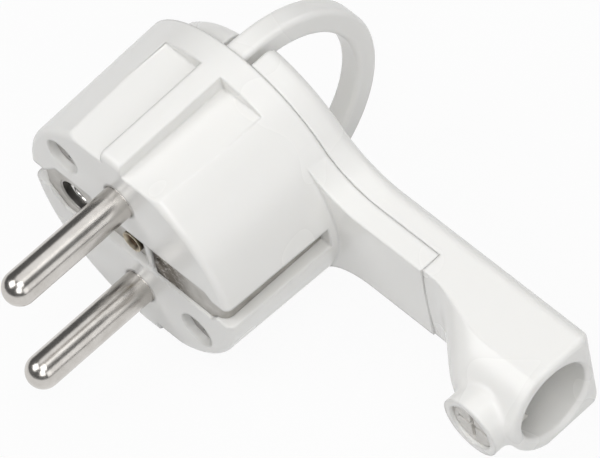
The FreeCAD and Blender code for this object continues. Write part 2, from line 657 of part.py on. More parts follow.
def rear_cover():
    """Back shell of the drum and arm, with the nose, cord entry and clamp boss."""
    body = new_body("rear_cover")
    seam = d.seam
    shoulder = across(body, "shoulder", seam)
    add_circle(shoulder, 0, 0, d.shoulder_radius)
    pad_back(body, shoulder, "shoulder_pad", d.cover_depth)
    dress(body, "Fillet", "shoulder_edge", d.shoulder_round,
          lambda edge: near(edge.BoundBox.YMin, d.back_face))
    outline = arm_outline(body, "arm_outline", seam, d.rim_radius, d.notch_half, d.arm_end)
    pad_back(body, outline, "arm", d.cover_depth)
    dress(body, "Fillet", "back_edge", d.back_round,
          lambda edge: near(edge.BoundBox.YMin, d.back_face)
          and edge.BoundBox.XMax > number_of(d.notch_half + d.overlap)
          and edge.BoundBox.DiagonalLength > number_of(d.overlap)
          and math.hypot(edge.CenterOfMass.x, edge.CenterOfMass.z)
          > number_of(d.shoulder_radius))

    joint = d.arm_joint + d.seam_gap
    nose_back = seam + d.overlap
    crown = d.arm_front + d.arm_crown
    sleeve = nose_section(body, "sleeve", joint, d.arm_front, crown, nose_back)
    extrude(body, "Pad", sleeve, "sleeve_pad", d.flare_start - joint)
    sections = []
    for i in range(FLARE_SECTIONS):
        share = i / (FLARE_SECTIONS - 1)
        ease = share * share * (3 - 2 * share)
        front = d.arm_front + (d.nose_front - d.arm_front) * ease
        ridge = crown + (d.nose_ridge - crown) * ease
        x = d.flare_start + (d.flare_end - d.flare_start) * share
        sections.append(nose_section(body, "flare_" + str(i), x, front, ridge, nose_back))
    flare = body.newObject("PartDesign::AdditiveLoft", "rear_cover_flare")
    flare.Profile = sections[0]
    flare.Sections = sections[1:]
    nose = nose_section(body, "nose", d.flare_end, d.nose_front, d.nose_ridge, nose_back)
    extrude(body, "Pad", nose, "nose_pad", d.arm_end - d.flare_end)
    dress(body, "Fillet", "end_edge", d.end_round,
          lambda edge: near(edge.BoundBox.XMin, d.arm_end))
    boss = across(body, "boss", d.boss_face)
    add_circle(boss, d.boss_x, 0, d.boss_diameter / 2)
    pad_back(body, boss, "boss_pad", d.clamp_seat - d.boss_face + d.overlap)
    boss_x = number_of(d.boss_x)
    dress(body, "Fillet", "boss_foot", d.boss_round,
          lambda edge: edge.BoundBox.YMin > number_of(d.boss_face + d.overlap)
          and all(near(math.hypot(corner.X - boss_x, corner.Z), d.boss_diameter / 2)
                  for corner in edge.Vertexes))

    notch = across(body, "ring_notch", seam)
    for end in (1, -1):
        zs = sorted((end * (d.ring_inner - d.fit), end * (d.rim_radius + d.spare)), key=number_of)
        add_rectangle(notch, -d.notch_half, zs[0], d.notch_half, zs[1])
    cut_back(body, notch, "ring_notch_cut", d.cover_depth + d.spare)

    inner_depth = d.cover_depth - d.cover_wall
    space = across(body, "wiring_space", seam)
    inner_x, inner_z = d.cavity_x - d.cover_rim, d.cavity_z - d.cover_rim
    add_polygon(space, octagon(inner_x, inner_z, d.cavity_corner))
    cut_back(body, space, "wiring_cut", inner_depth)
    channel = across(body, "wire_channel", seam)
    half_channel = d.channel_height / 2
    bore_start = d.arm_end - d.cord_bore_depth + d.overlap
    add_rectangle(channel, inner_x - d.overlap, -half_channel, bore_start, half_channel)
    cut_back(body, channel, "channel_cut", inner_depth)
    inner = new_sketch(body, "nose_channel", "YZ_Plane", bore_start)
    add_rectangle(inner, d.channel_front, -half_channel, nose_back, half_channel)
    extrude(body, "Pocket", inner, "nose_channel_cut", bore_start - d.arm_joint)
    entry = new_sketch(body, "cord_entry", "YZ_Plane", d.arm_end)
    add_circle(entry, d.cord_axis, 0, d.cord_bore / 2)
    extrude(body, "Pocket", entry, "cord_entry_cut", d.cord_bore_depth)
    dress(body, "Chamfer", "entry_edge", d.entry_chamfer,
          lambda edge: near(edge.BoundBox.XMin, d.arm_end)
          and near(edge.BoundBox.ZMax, d.cord_bore / 2))

    nut_half = d.clamp_nut_width / 2 + d.fit
    nut_seat = across(body, "nut_seat", d.cord_axis)
    add_rectangle(nut_seat, d.boss_x - nut_half, -nut_half, d.boss_x + nut_half, nut_half)
    cut_forward(body, nut_seat, "nut_seat_cut", d.cord_axis - d.clamp_seat)
    head = across(body, "clamp_head", d.boss_face)
    add_circle(head, d.boss_x, 0, d.clamp_screw_head / 2 + d.fit)
    cut_back(body, head, "clamp_head_cut", d.clamp_head_sink + d.clamp_head_height)
    shank = across(body, "clamp_shank", d.boss_face)
    add_circle(shank, d.boss_x, 0, d.clamp_screw_diameter / 2 + d.fit)
    cut_back(body, shank, "clamp_shank_cut", d.clamp_seat - d.boss_face + d.overlap)

    posts = across(body, "posts", seam)
    inserts = across(body, "insert_holes", seam)
    for side, end in HOUSING_SCREWS:
        x, z = side * d.screw_x, end * d.screw_z
        add_circle(posts, x, z, d.rear_post_diameter / 2)
        add_circle(inserts, x, z, d.insert_diameter / 2)
    pad_back(body, posts, "posts_pad", inner_depth + d.overlap)
    cut_back(body, inserts, "insert_cut", d.insert_length + d.fit)
    return body


def pull_ring():
    """Flat band bent into a loop behind the drum, with two feet caught by the shells."""
    body = new_body("pull_ring")
    foot_start = d.drum_depth - d.foot_thickness
    sketch = new_sketch(body, "band", "YZ_Plane")
    outer, inner = d.ring_outer, d.ring_inner
    outer_y, inner_y = d.ring_outer_centre, d.ring_inner_centre
    big = add_arc(sketch, outer_y, 0, outer, (outer_y, -outer), (outer_y, outer))
    small = add_arc(sketch, inner_y, 0, inner, (inner_y, -inner), (inner_y, inner))
    lines = []
    for start, end in (
        ((outer_y, outer), (foot_start, outer)), ((foot_start, outer), (foot_start, inner)),
        ((foot_start, inner), (inner_y, inner)), ((inner_y, -inner), (foot_start, -inner)),
        ((foot_start, -inner), (foot_start, -outer)), ((foot_start, -outer), (outer_y, -outer)),
    ):
        ends = [Vector(number_of(y), number_of(z), 0) for y, z in (start, end)]
        lines.append(sketch.addGeometry(Part.LineSegment(ends[0], ends[1])))
    place_point(sketch, big, CENTRE, outer_y, 0)
    place_point(sketch, small, CENTRE, inner_y, 0)
    dimension(sketch, "Radius", outer, big)
    dimension(sketch, "Radius", inner, small)
    for pair in (
        (big, ARC_END, lines[0], 1), (lines[2], 2, small, ARC_END),
        (small, ARC_START, lines[3], 1), (lines[5], 2, big, ARC_START),
    ):
        sketch.addConstraint(Sketcher.Constraint("Tangent", *pair))
    for i, k in ((0, 1), (1, 2), (3, 4), (4, 5)):
        sketch.addConstraint(Sketcher.Constraint("Coincident", lines[i], 2, lines[k], 1))
    for i in (0, 2, 3, 5):
        sketch.addConstraint(Sketcher.Constraint("Horizontal", lines[i]))
    for i in (1, 4):
        sketch.addConstraint(Sketcher.Constraint("Vertical", lines[i]))
        place_coordinate(sketch, lines[i], 1, "DistanceX", foot_start)
    extrude(body, "Pad", sketch, "band_pad", d.ring_width, symmetric=True)
    dress(body, "Fillet", "band_edges", d.ring_round,
          lambda edge: near(edge.BoundBox.XLength, 0)
          and edge.BoundBox.YMax > number_of(d.drum_depth + d.overlap))
    feet = across(body, "feet", foot_start)
    high = inner + d.foot_height
    half = d.foot_width / 2
    add_rectangle(feet, -half, inner, half, high)
    add_rectangle(feet, -half, -high, half, -inner)
    pad_back(body, feet, "feet_pad", d.foot_thickness + d.seam_gap)
    return body


def pin_carrier():
    """Rigid plate behind the front wall that holds the collars of both pins."""
    body = new_body("pin_carrier")
    plate = across(body, "plate", d.front_wall)
    add_polygon(plate, octagon(d.cavity_x - d.fit, d.cavity_z - d.fit, d.cavity_corner))
    pad_back(body, plate, "plate_pad", d.carrier_thickness)
    holes = across(body, "holes", d.front_wall)
    for side, end in HOUSING_SCREWS:
        radius = d.post_diameter / 2 + d.fit
        add_circle(holes, side * d.screw_x, end * d.screw_z, radius)
    for _, end in PIN_SIDES:
        add_circle(holes, 0, end * d.pin_spacing / 2, d.terminal_diameter / 2 + d.fit)
    add_circle(holes, -d.earth_offset, 0, d.earth_bore / 2 + d.socket_wall + d.fit)
    add_circle(holes, 0, 0, d.eyelet_outer / 2 + d.eyelet_flange + d.fit)
    add_circle(holes, d.rivet_x, 0, d.rivet_head / 2 + d.fit)
    cut_back(body, holes, "hole_cut", d.carrier_thickness + d.spare)
    collars = across(body, "collar_seats", d.front_wall)
    for _, end in PIN_SIDES:
        add_circle(collars, 0, end * d.pin_spacing / 2, d.collar_diameter / 2 + d.fit)
    cut_back(body, collars, "collar_cut", d.collar_height)
    return body


def contact_pin(name, end):
    """Pin with a round tip, a thicker root, a collar behind the wall and a drilled end."""
    body = new_body(name)
    radius = d.pin_diameter / 2
    root_radius = d.pin_root / 2
    collar = d.collar_diameter / 2
    terminal = d.terminal_diameter / 2
    collar_back = d.front_wall + d.collar_height
    revolve(body, "turned", [
        (0, -d.pin_length + radius), (radius, -d.pin_length + radius), (radius, 0),
        (root_radius, d.pin_step), (root_radius, d.front_wall), (collar, d.front_wall),
        (collar, collar_back), (terminal, collar_back), (terminal, d.terminal_end),
        (0, d.terminal_end)])
    tip = new_sketch(body, "tip", "XY_Plane")
    middle = -d.pin_length + radius
    arc = add_arc(tip, 0, middle, radius, (0, -d.pin_length), (radius, middle))
    points = [Vector(0, number_of(-d.pin_length), 0), Vector(0, number_of(middle), 0),
              Vector(number_of(radius), number_of(middle), 0)]
    axis = tip.addGeometry(Part.LineSegment(points[1], points[0]))
    base = tip.addGeometry(Part.LineSegment(points[2], points[1]))
    place_point(tip, arc, CENTRE, 0, middle)
    dimension(tip, "Radius", radius, arc)
    for pair in ((axis, 2, arc, ARC_START), (arc, ARC_END, base, 1), (base, 2, axis, 1)):
        tip.addConstraint(Sketcher.Constraint("Coincident", *pair))
    tip.addConstraint(Sketcher.Constraint("Coincident", base, 2, arc, CENTRE))
    tip.addConstraint(Sketcher.Constraint("Horizontal", base))
    tip.addConstraint(Sketcher.Constraint("Vertical", axis))
    ball = body.newObject("PartDesign::Revolution", name + "_ball")
    ball.Profile = tip
    ball.ReferenceAxis = (tip, ["V_Axis"])
    ball.Angle = 360

    wire_y = (d.carrier_back + d.terminal_end) / 2
    wire = new_sketch(body, "wire_hole", "YZ_Plane", d.terminal_diameter)
    add_circle(wire, wire_y, 0, d.wire_hole / 2)
    extrude(body, "Pocket", wire, "wire_cut", 2 * d.terminal_diameter)
    thread = across(body, "screw_hole", d.terminal_end)
    add_circle(thread, 0, 0, d.terminal_screw / 2)
    cut_forward(body, thread, "screw_cut", d.terminal_end - wire_y)
    move(body, z=end * d.pin_spacing / 2)
    return body


def slotted_screw(name, seat, tip, x, z):
    """Small screw driven from the back, with a slotted head on its seat."""
    body = new_body(name)
    head = d.terminal_screw_head / 2
    shank = d.terminal_screw / 2
    top = seat + d.terminal_head_height
    revolve(body, "turned", [
        (0, tip), (shank, tip), (shank, seat), (head, seat), (head, top), (0, top)])
    slot = across(body, "slot", top)
    half_slot = d.driver_slot / 2
    add_rectangle(slot, -head - d.spare, -half_slot, head + d.spare, half_slot)
    cut_forward(body, slot, "slot_cut", d.terminal_head_height / 2)
    move(body, x=x, z=z)
    return body


def earth_strip():
    """Sheet strip across the contact face whose two ends are the side contacts."""
    body = new_body("earth_strip")
    top = d.strip_recess
    under = top + d.strip_thickness
    sunk = d.well_depth - d.strip_thickness
    bed = d.well_depth
    inner = d.slot_reach + d.strip_gap
    outer = inner + d.strip_thickness
    tail = d.side_slot_length - d.strip_gap
    slope = d.strip_slope
    left, right = d.well_left - d.strip_gap, d.well_right - d.strip_gap
    sketch = new_sketch(body, "profile", "XY_Plane")
    add_polygon(sketch, [
        (-outer, tail), (-outer, top), (-left, top), (-left + slope, sunk),
        (right - slope, sunk), (right, top), (outer, top), (outer, tail),
        (inner, tail), (inner, under), (right, under), (right - slope, bed),
        (-left + slope, bed), (-left, under), (-inner, under), (-inner, tail)])
    widest = d.socket_slot_width - 2 * d.strip_gap
    extrude(body, "Pad", sketch, "strip_pad", widest, symmetric=True)
    for name, radius, x, y in (
        ("outer_bends", d.strip_bend, outer, top),
        ("inner_bends", d.strip_bend - d.strip_thickness, inner, under),
    ):
        dress(body, "Fillet", name, radius,
              lambda edge: near(abs(edge.CenterOfMass.x), x)
              and near(edge.CenterOfMass.y, y) and near(edge.BoundBox.XLength, 0))
    trim = across(body, "trim")
    beyond = widest / 2 + d.spare
    bar = d.slot_width / 2 - d.strip_gap
    clip = d.side_slot_width / 2 - d.strip_gap
    corner = d.bend_start
    for end in (1, -1):
        add_polygon(trim, [
            (-outer - d.spare, end * clip), (-corner, end * clip),
            (-corner + (beyond - clip), end * beyond), (-outer - d.spare, end * beyond)])
        add_polygon(trim, [
            (-left - d.strip_gap, end * bar), (corner - (bar - clip), end * bar),
            (corner, end * clip), (outer + d.spare, end * clip),
            (outer + d.spare, end * beyond), (-left - d.strip_gap, end * beyond)])
    cut_back(body, trim, "trim_cut", d.side_slot_length + d.spare)
    holes = across(body, "holes")
    neck = d.earth_bore / 2 + d.socket_neck_wall
    add_circle(holes, -d.earth_offset, 0, neck)
    add_circle(holes, 0, 0, d.eyelet_outer / 2 + d.fit)
    add_circle(holes, d.rivet_x, 0, d.rivet_diameter / 2 + d.fit)
    cut_back(body, holes, "hole_cut", d.well_depth + d.spare)
    return body


def earth_socket():
    """Sleeve for the wall socket's earth pin, with a solid end for the earth wire."""
    body = new_body("earth_socket")
    bore = d.earth_bore / 2
    wall = bore + d.socket_wall
    neck = bore + d.socket_neck_wall
    flange = wall + d.socket_flange
    shoulder = d.strip_recess + d.strip_thickness
    carrier_back = d.carrier_back
    flange_back = d.socket_collar_end
    revolve(body, "turned", [
        (bore, d.socket_mouth), (neck, d.socket_mouth), (neck, shoulder), (wall, shoulder),
        (wall, carrier_back), (flange, carrier_back), (flange, flange_back), (wall, flange_back),
        (wall, d.socket_length), (0, d.socket_length), (0, d.socket_bore_end),
        (bore, d.socket_bore_end)])
    slit = new_sketch(body, "slit", "YZ_Plane", 2 * wall)
    half_slit = d.socket_slit / 2
    add_rectangle(slit, flange_back + d.overlap, -half_slit,
                  d.socket_bore_end - d.overlap, half_slit)
    extrude(body, "Pocket", slit, "slit_cut", 4 * wall)
    wire = new_sketch(body, "wire_hole", "XY_Plane", 2 * wall)
    add_circle(wire, 0, (d.socket_bore_end + d.socket_length) / 2, d.earth_wire_hole / 2)
    extrude(body, "Pocket", wire, "wire_cut", 4 * wall)
    thread = across(body, "screw_hole", d.socket_length)
    add_circle(thread, 0, 0, d.terminal_screw / 2)
    cut_forward(body, thread, "screw_cut", (d.socket_length - d.socket_bore_end) / 2)
    move(body, x=-d.earth_offset)
    return body


def socket_spring():
    """Open ring that closes the slit sleeve of the earth socket."""
    body = new_body("earth_socket_spring")
    inner = d.earth_bore / 2 + d.socket_wall
    outer = inner + d.spring_sheet
    front = d.socket_collar_end + d.spring_gap
    back = front + d.spring_width
    revolve(body, "turned", [(inner, front), (outer, front), (outer, back), (inner, back)])
    opening = new_sketch(body, "opening", "XY_Plane", 2 * outer)
    half = d.spring_opening / 2
    add_rectangle(opening, -half, front - d.spare, half, back + d.spare)
    extrude(body, "Pocket", opening, "opening_cut", 2 * outer)
    move(body, x=-d.earth_offset)
    return body


def centre_eyelet():
    """Hollow rivet on the axis that holds the strip to the front wall."""
    body = new_body("centre_eyelet")
    bore = d.eyelet_bore / 2
    wall = d.eyelet_outer / 2
    flange = wall + d.eyelet_flange
    back = d.front_wall + d.eyelet_flange_height
    revolve(body, "turned", [
        (bore, d.eyelet_top + d.eyelet_funnel), (wall - d.eyelet_lip, d.eyelet_top),
        (wall, d.eyelet_top), (wall, d.front_wall), (flange, d.front_wall),
        (flange, back), (bore, back)])
    return body


def strip_rivet():
    """Rivet through the strip and the front wall, with a low bevelled head."""
    body = new_body("strip_rivet")
    shank = d.rivet_diameter / 2
    head = d.rivet_head / 2
    seat = d.strip_recess
    top = seat - d.rivet_head_height
    back = d.front_wall + d.rivet_back_height
    crown = d.rivet_crown
    revolve(body, "turned", [
        (0, top), (head - crown, top), (head, top + crown), (head, seat),
        (shank, seat), (shank, d.front_wall), (head, d.front_wall), (head, back), (0, back)])
    move(body, x=d.rivet_x)
    return body


def housing_screw(name, side, end):
    """Cross-head screw sunk in the contact face that joins the two shells."""
    body = new_body(name)
    shank = d.screw_diameter / 2
    head = d.screw_head / 2
    seat = d.screw_sink + d.screw_head_height
    revolve(body, "turned", [
        (0, d.screw_sink), (head, d.screw_sink), (head, seat), (shank, seat),
        (shank, d.screw_length), (0, d.screw_length)])
    recess = across(body, "recess", d.screw_sink)
    add_polygon(recess, cross_recess(head - d.recess_margin, d.recess_width / 2))
    cut_back(body, recess, "recess_cut", d.recess_depth)
    move(body, x=side * d.screw_x, z=end * d.screw_z)
    return body


def brass_insert(name, side, end):
    """Threaded insert in the rear cover."""
    body = new_body(name)
    bore = d.screw_diameter / 2
    outside = d.insert_diameter / 2
    end_face = d.seam + d.insert_length
    revolve(body, "turned", [
        (bore, d.seam), (outside, d.seam), (outside, end_face), (bore, end_face)])
    move(body, x=side * d.screw_x, z=end * d.screw_z)
    return body


def clamp_screw():
    """Cross-head screw in the boss that presses the saddle on the cord."""
    body = new_body("clamp_screw")
    top = d.boss_face + d.clamp_head_sink
    seat = top + d.clamp_head_height
    tip = d.saddle_seat
    head = d.clamp_screw_head / 2
    shank = d.clamp_screw_diameter / 2
    revolve(body, "turned", [
        (0, top), (head, top), (head, seat), (shank, seat), (shank, tip), (0, tip)])
    recess = across(body, "recess", top)
    add_polygon(recess, cross_recess(head - d.recess_margin, d.recess_width / 2))
    cut_back(body, recess, "recess_cut", d.recess_depth)
    move(body, x=d.boss_x)
    return body


def clamp_nut():
    """Square nut in the flat seat behind the boss."""
    body = new_body("clamp_nut")
    half = d.clamp_nut_width / 2
    plate = across(body, "plate", d.clamp_seat)
    add_rectangle(plate, -half, -half, half, half)
    pad_back(body, plate, "plate_pad", d.clamp_nut_height)
    thread = across(body, "thread", d.clamp_seat)
    add_circle(thread, 0, 0, d.clamp_screw_diameter / 2)
    cut_back(body, thread, "thread_cut", d.clamp_nut_height + d.spare)
    move(body, x=d.boss_x)
    return body


def cord_saddle():
    """Hollowed pressure plate between the clamp screw and the cord."""
    body = new_body("cord_saddle")
    seat = d.saddle_seat
    bore = d.cord_bore / 2
    drop = d.cord_axis - seat
    half = root(bore * bore - drop * drop) - d.fit
    middle = seat + d.saddle_web + d.saddle_hollow
    plate = new_sketch(body, "plate", "YZ_Plane", -1 * d.saddle_length / 2)
    add_rectangle(plate, seat, -half, seat + d.saddle_height, half)
    extrude(body, "Pad", plate, "plate_pad", d.saddle_length)
    hollow = new_sketch(body, "hollow", "YZ_Plane", d.saddle_length)
    add_circle(hollow, middle, 0, d.saddle_hollow)
    extrude(body, "Pocket", hollow, "hollow_cut", 2 * d.saddle_length)
    move(body, x=d.boss_x)
    return body


front_housing()
rear_cover()
pull_ring()
pin_carrier()
for pin_name, pin_end in PIN_SIDES:
    contact_pin(pin_name, pin_end)
    screw_tip = (d.carrier_back + d.terminal_end) / 2 + d.wire_grip
    slotted_screw(pin_name + "_screw", d.terminal_end, screw_tip, 0, pin_end * d.pin_spacing / 2)
earth_strip()
earth_socket()
socket_spring()
slotted_screw("earth_screw", d.socket_length,
              (d.socket_bore_end + d.socket_length) / 2 + d.wire_grip, -d.earth_offset, 0)
centre_eyelet()
strip_rivet()
for screw_name, (screw_side, screw_end) in zip(("upper", "lower"), HOUSING_SCREWS):
    housing_screw("housing_screw_" + screw_name, screw_side, screw_end)
    brass_insert("screw_insert_" + screw_name, screw_side, screw_end)
clamp_screw()
clamp_nut()
cord_saddle()

doc.recompute()
for item in doc.Objects:
    if "Invalid" in item.State or "Error" in item.State:
        raise RuntimeError(item.Name + " could not be computed")
os.makedirs("parts", exist_ok=True)
for sub_part in SUB_PARTS:
    shape = sub_part.Shape
    if shape.isNull() or not shape.isValid():
        raise RuntimeError(sub_part.Label + " has no valid shape")
    shape.exportStep(os.path.join("parts", sub_part.Label + ".step"))
    print(sub_part.Label, round(shape.Volume, 2), len(shape.Solids))
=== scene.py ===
import bpy
import math
from mathutils import Matrix, Vector


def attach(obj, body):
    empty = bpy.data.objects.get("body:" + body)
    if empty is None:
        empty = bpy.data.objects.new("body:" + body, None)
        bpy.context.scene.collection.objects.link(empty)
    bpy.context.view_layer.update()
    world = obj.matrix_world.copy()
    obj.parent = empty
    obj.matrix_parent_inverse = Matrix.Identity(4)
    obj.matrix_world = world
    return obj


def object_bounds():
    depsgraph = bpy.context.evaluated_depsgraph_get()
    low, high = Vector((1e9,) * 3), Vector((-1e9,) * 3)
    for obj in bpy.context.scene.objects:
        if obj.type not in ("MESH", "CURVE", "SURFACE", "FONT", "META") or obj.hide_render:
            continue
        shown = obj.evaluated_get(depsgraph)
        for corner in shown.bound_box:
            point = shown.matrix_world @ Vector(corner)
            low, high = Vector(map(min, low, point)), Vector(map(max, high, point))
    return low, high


# Looks of an angled mains plug, in metres, in the frame of its solids:
# +X along the arm, -Y towards the wall socket, +Z from pin to pin.

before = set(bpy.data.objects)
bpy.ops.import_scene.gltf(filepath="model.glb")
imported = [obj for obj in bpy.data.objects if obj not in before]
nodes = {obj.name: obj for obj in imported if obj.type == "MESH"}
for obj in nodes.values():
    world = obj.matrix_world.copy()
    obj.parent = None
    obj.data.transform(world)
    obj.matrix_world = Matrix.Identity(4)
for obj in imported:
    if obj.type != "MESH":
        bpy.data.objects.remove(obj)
cad_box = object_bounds()


# Shader helpers

BEVEL_SAMPLES = 12


def new_material(name):
    material = bpy.data.materials.new(name)
    material.use_nodes = True
    tree = material.node_tree
    return material, tree, tree.nodes["Principled BSDF"]


def coordinates(tree, scale=(1.0, 1.0, 1.0)):
    """Object coordinates, drawn out along an axis whose scale is below 1."""
    source = tree.nodes.new("ShaderNodeTexCoord")
    mapping = tree.nodes.new("ShaderNodeMapping")
    mapping.inputs["Scale"].default_value = scale
    tree.links.new(source.outputs["Object"], mapping.inputs["Vector"])
    return mapping.outputs["Vector"]


def noise(tree, vector, scale, detail=3.0, roughness=0.5):
    node = tree.nodes.new("ShaderNodeTexNoise")
    node.inputs["Scale"].default_value = scale
    node.inputs["Detail"].default_value = detail
    node.inputs["Roughness"].default_value = roughness
    tree.links.new(vector, node.inputs["Vector"])
    return node.outputs["Fac"]


def ramp(tree, value, stops):
    """A colour picked by value from two or more (place, colour) stops."""
    node = tree.nodes.new("ShaderNodeValToRGB")
    elements = node.color_ramp.elements
    while len(elements) < len(stops):
        elements.new(0.5)
    for element, (place, colour) in zip(elements, stops):
        element.position = place
        element.color = (*colour, 1.0)
    tree.links.new(value, node.inputs["Fac"])
    return node.outputs["Color"]


def span(tree, value, low, high):
    """A value from 0 to 1, laid out from low to high."""
    node = tree.nodes.new("ShaderNodeMapRange")
    node.inputs["To Min"].default_value = low
    node.inputs["To Max"].default_value = high
    tree.links.new(value, node.inputs["Value"])
    return node.outputs["Result"]


def bump(tree, height, strength, distance, normal):
    node = tree.nodes.new("ShaderNodeBump")
    node.inputs["Strength"].default_value = strength
    node.inputs["Distance"].default_value = distance
    tree.links.new(height, node.inputs["Height"])
    tree.links.new(normal, node.inputs["Normal"])
    return node.outputs["Normal"]


def soft_edges(tree, radius):
    """Normals that catch the light as an edge rounded by this radius does."""
    node = tree.nodes.new("ShaderNodeBevel")
    node.samples = BEVEL_SAMPLES
    node.inputs["Radius"].default_value = radius
    return node.outputs["Normal"]


def axis_value(tree, axis):
    """One object coordinate, in metres."""
    source = tree.nodes.new("ShaderNodeTexCoord")
    parts = tree.nodes.new("ShaderNodeSeparateXYZ")
    tree.links.new(source.outputs["Object"], parts.inputs[0])
    return parts.outputs[axis]


def band(tree, value, start, end):
    """0 before start, 1 after end."""
    node = tree.nodes.new("ShaderNodeMapRange")
    node.inputs["From Min"].default_value = start
    node.inputs["From Max"].default_value = end
    node.clamp = True
    tree.links.new(value, node.inputs["Value"])
    return node.outputs["Result"]


def combine(tree, operation, first, second):
    node = tree.nodes.new("ShaderNodeMath")
    node.operation = operation
    tree.links.new(first, node.inputs[0])
    tree.links.new(second, node.inputs[1])
    return node.outputs[0]


def blend(tree, share, first, colour):
    """The first colour, and the given one where share is 1."""
    node = tree.nodes.new("ShaderNodeMix")
    node.data_type = "RGBA"
    sockets = [socket for socket in node.inputs if socket.type == "RGBA"]
    sockets[1].default_value = (*colour, 1.0)
    tree.links.new(share, node.inputs[0])
    tree.links.new(first, sockets[0])
    return next(socket for socket in node.outputs if socket.type == "RGBA")


# Materials

# Noise scales: the higher, the finer.
CLOUD_SCALE, GLOSS_SCALE = 35.0, 60.0
PATCH_SCALE, SPOT_SCALE = 260.0, 1500.0
GLOSS_SWING = 0.02
WAVE_HEIGHT = 0.0004
MARK_STRENGTH = 0.35
PLASTIC_IOR = 1.5
LIGHT_SHARE_WITHIN, LIGHT_DEPTH = 0.12, 0.0009
LIGHT_REACH = (1.0, 0.95, 0.85)


def plastic(name, light, dark, roughness, edge=0.0006, grain=0.006, wave=320.0):
    """Moulded plastic: faint flow clouds, patches of gloss and a slight waviness."""
    material, tree, shader = new_material(name)
    vector = coordinates(tree)
    clouds = noise(tree, vector, CLOUD_SCALE, 1.0, 0.4)
    tree.links.new(ramp(tree, clouds, [(0.2, dark), (0.8, light)]), shader.inputs["Base Color"])
    gloss = noise(tree, vector, GLOSS_SCALE, 1.0, 0.4)
    tree.links.new(span(tree, gloss, roughness - GLOSS_SWING, roughness + GLOSS_SWING),
                   shader.inputs["Roughness"])
    waves = noise(tree, vector, wave, 2.0, 0.4)
    tree.links.new(bump(tree, waves, grain, WAVE_HEIGHT, soft_edges(tree, edge)),
                   shader.inputs["Normal"])
    shader.inputs["IOR"].default_value = PLASTIC_IOR
    shader.inputs["Subsurface Weight"].default_value = LIGHT_SHARE_WITHIN
    shader.inputs["Subsurface Radius"].default_value = LIGHT_REACH
    shader.inputs["Subsurface Scale"].default_value = LIGHT_DEPTH
    return material


def metal(name, light, dark, roughness, stretch, scale=900.0, depth=0.00002, edge=0.0002,
          painted_shades=()):
    """Plated metal: fine marks drawn along one axis, and patches of duller plating.

    Each painted shade is a dark colour standing in for shade in a hollow or well, how
    patchy it is from 0 to 1, and one or more bands of (axis, start, end) where it comes in.
    """
    material, tree, shader = new_material(name)
    vector = coordinates(tree)
    patches = noise(tree, vector, PATCH_SCALE, 4.0, 0.6)
    colour = ramp(tree, patches, [(0.32, dark), (0.66, light)])
    # Painted shade, laid over the metal's own colour within its bands.
    for shade, patchy, bands in painted_shades:
        share = None
        if patchy:
            spots = noise(tree, vector, SPOT_SCALE, 3.0, 0.65)
            share = band(tree, spots, 0.5 - 0.2 / patchy, 0.5)
        for axis, start, end in bands:
            part = band(tree, axis_value(tree, axis), start, end)
            share = part if share is None else combine(tree, "MULTIPLY", share, part)
        colour = blend(tree, share, colour, shade)
    tree.links.new(colour, shader.inputs["Base Color"])
    lines = noise(tree, coordinates(tree, stretch), scale, 3.0, 0.6)
    tree.links.new(span(tree, lines, roughness * 0.7, roughness * 1.4),
                   shader.inputs["Roughness"])
    tree.links.new(bump(tree, lines, MARK_STRENGTH, depth, soft_edges(tree, edge)),
                   shader.inputs["Normal"])
    shader.inputs["Metallic"].default_value = 1.0
    return material


# Depths behind the contact face over which painted shade darkens a piece, in metres.
SCREW_FLOOR_SHADE = (0.0014, 0.0018)
EYELET_THROAT_SHADE = (0.00036, 0.00075)
SOCKET_THROAT_SHADE = (0.0012, 0.0030)
# Painted shade on the strip beside the eyelet and beyond the bridge, along X.
NEAR_PAINTED_SHADE = (("X", 0.0013, 0.0019), ("X", 0.0026, 0.0024))
FAR_SHADE_AND_MOTTLE = (("X", 0.0030, 0.0033), ("X", 0.0112, 0.0080))
EDGE_PAINTED_SHADE = (("X", 0.0030, 0.0033), ("X", 0.0054, 0.0042))

SHELL = plastic("shell_white", (0.83, 0.825, 0.805), (0.82, 0.815, 0.795), 0.27)
INNER = plastic("inner_plastic", (0.70, 0.69, 0.64), (0.62, 0.61, 0.57), 0.5, 0.0002)
PALE = plastic("pale_screw", (0.78, 0.765, 0.735), (0.60, 0.58, 0.55), 0.45, 0.0002, 0.9, 1400.0)
NICKEL = metal("pin_nickel", (0.66, 0.635, 0.605), (0.55, 0.525, 0.495), 0.22, (1.0, 0.03, 1.0))
# The strip's dark bands are painted shade: solid beside the eyelet and next to the bridge, and
# further beyond the bridge a patchy darkening that is partly painted shade and partly mottled
# plating.
SHEET = metal("sheet_nickel", (0.55, 0.535, 0.51), (0.41, 0.395, 0.37), 0.5, (0.08, 1.0, 1.0),
              painted_shades=[((0.18, 0.163, 0.14), 1.0, FAR_SHADE_AND_MOTTLE),
                      ((0.05, 0.042, 0.035), 0.0, EDGE_PAINTED_SHADE),
                      ((0.06, 0.05, 0.04), 0.0, NEAR_PAINTED_SHADE)])
# Painted shade: the earth socket turns near black deep inside its bore.
SOCKET = metal("socket_nickel", (0.46, 0.45, 0.435), (0.33, 0.32, 0.30), 0.34, (1.0, 0.1, 1.0),
               painted_shades=[((0.03, 0.027, 0.025), 0.0, [("Y", *SOCKET_THROAT_SHADE)])])
SPRING = metal("spring_leaf", (0.86, 0.85, 0.83), (0.70, 0.69, 0.67), 0.2, (1.0, 0.1, 1.0))
STEEL = metal("zinc_steel", (0.74, 0.74, 0.73), (0.62, 0.62, 0.60), 0.33, (1.0, 0.2, 1.0))
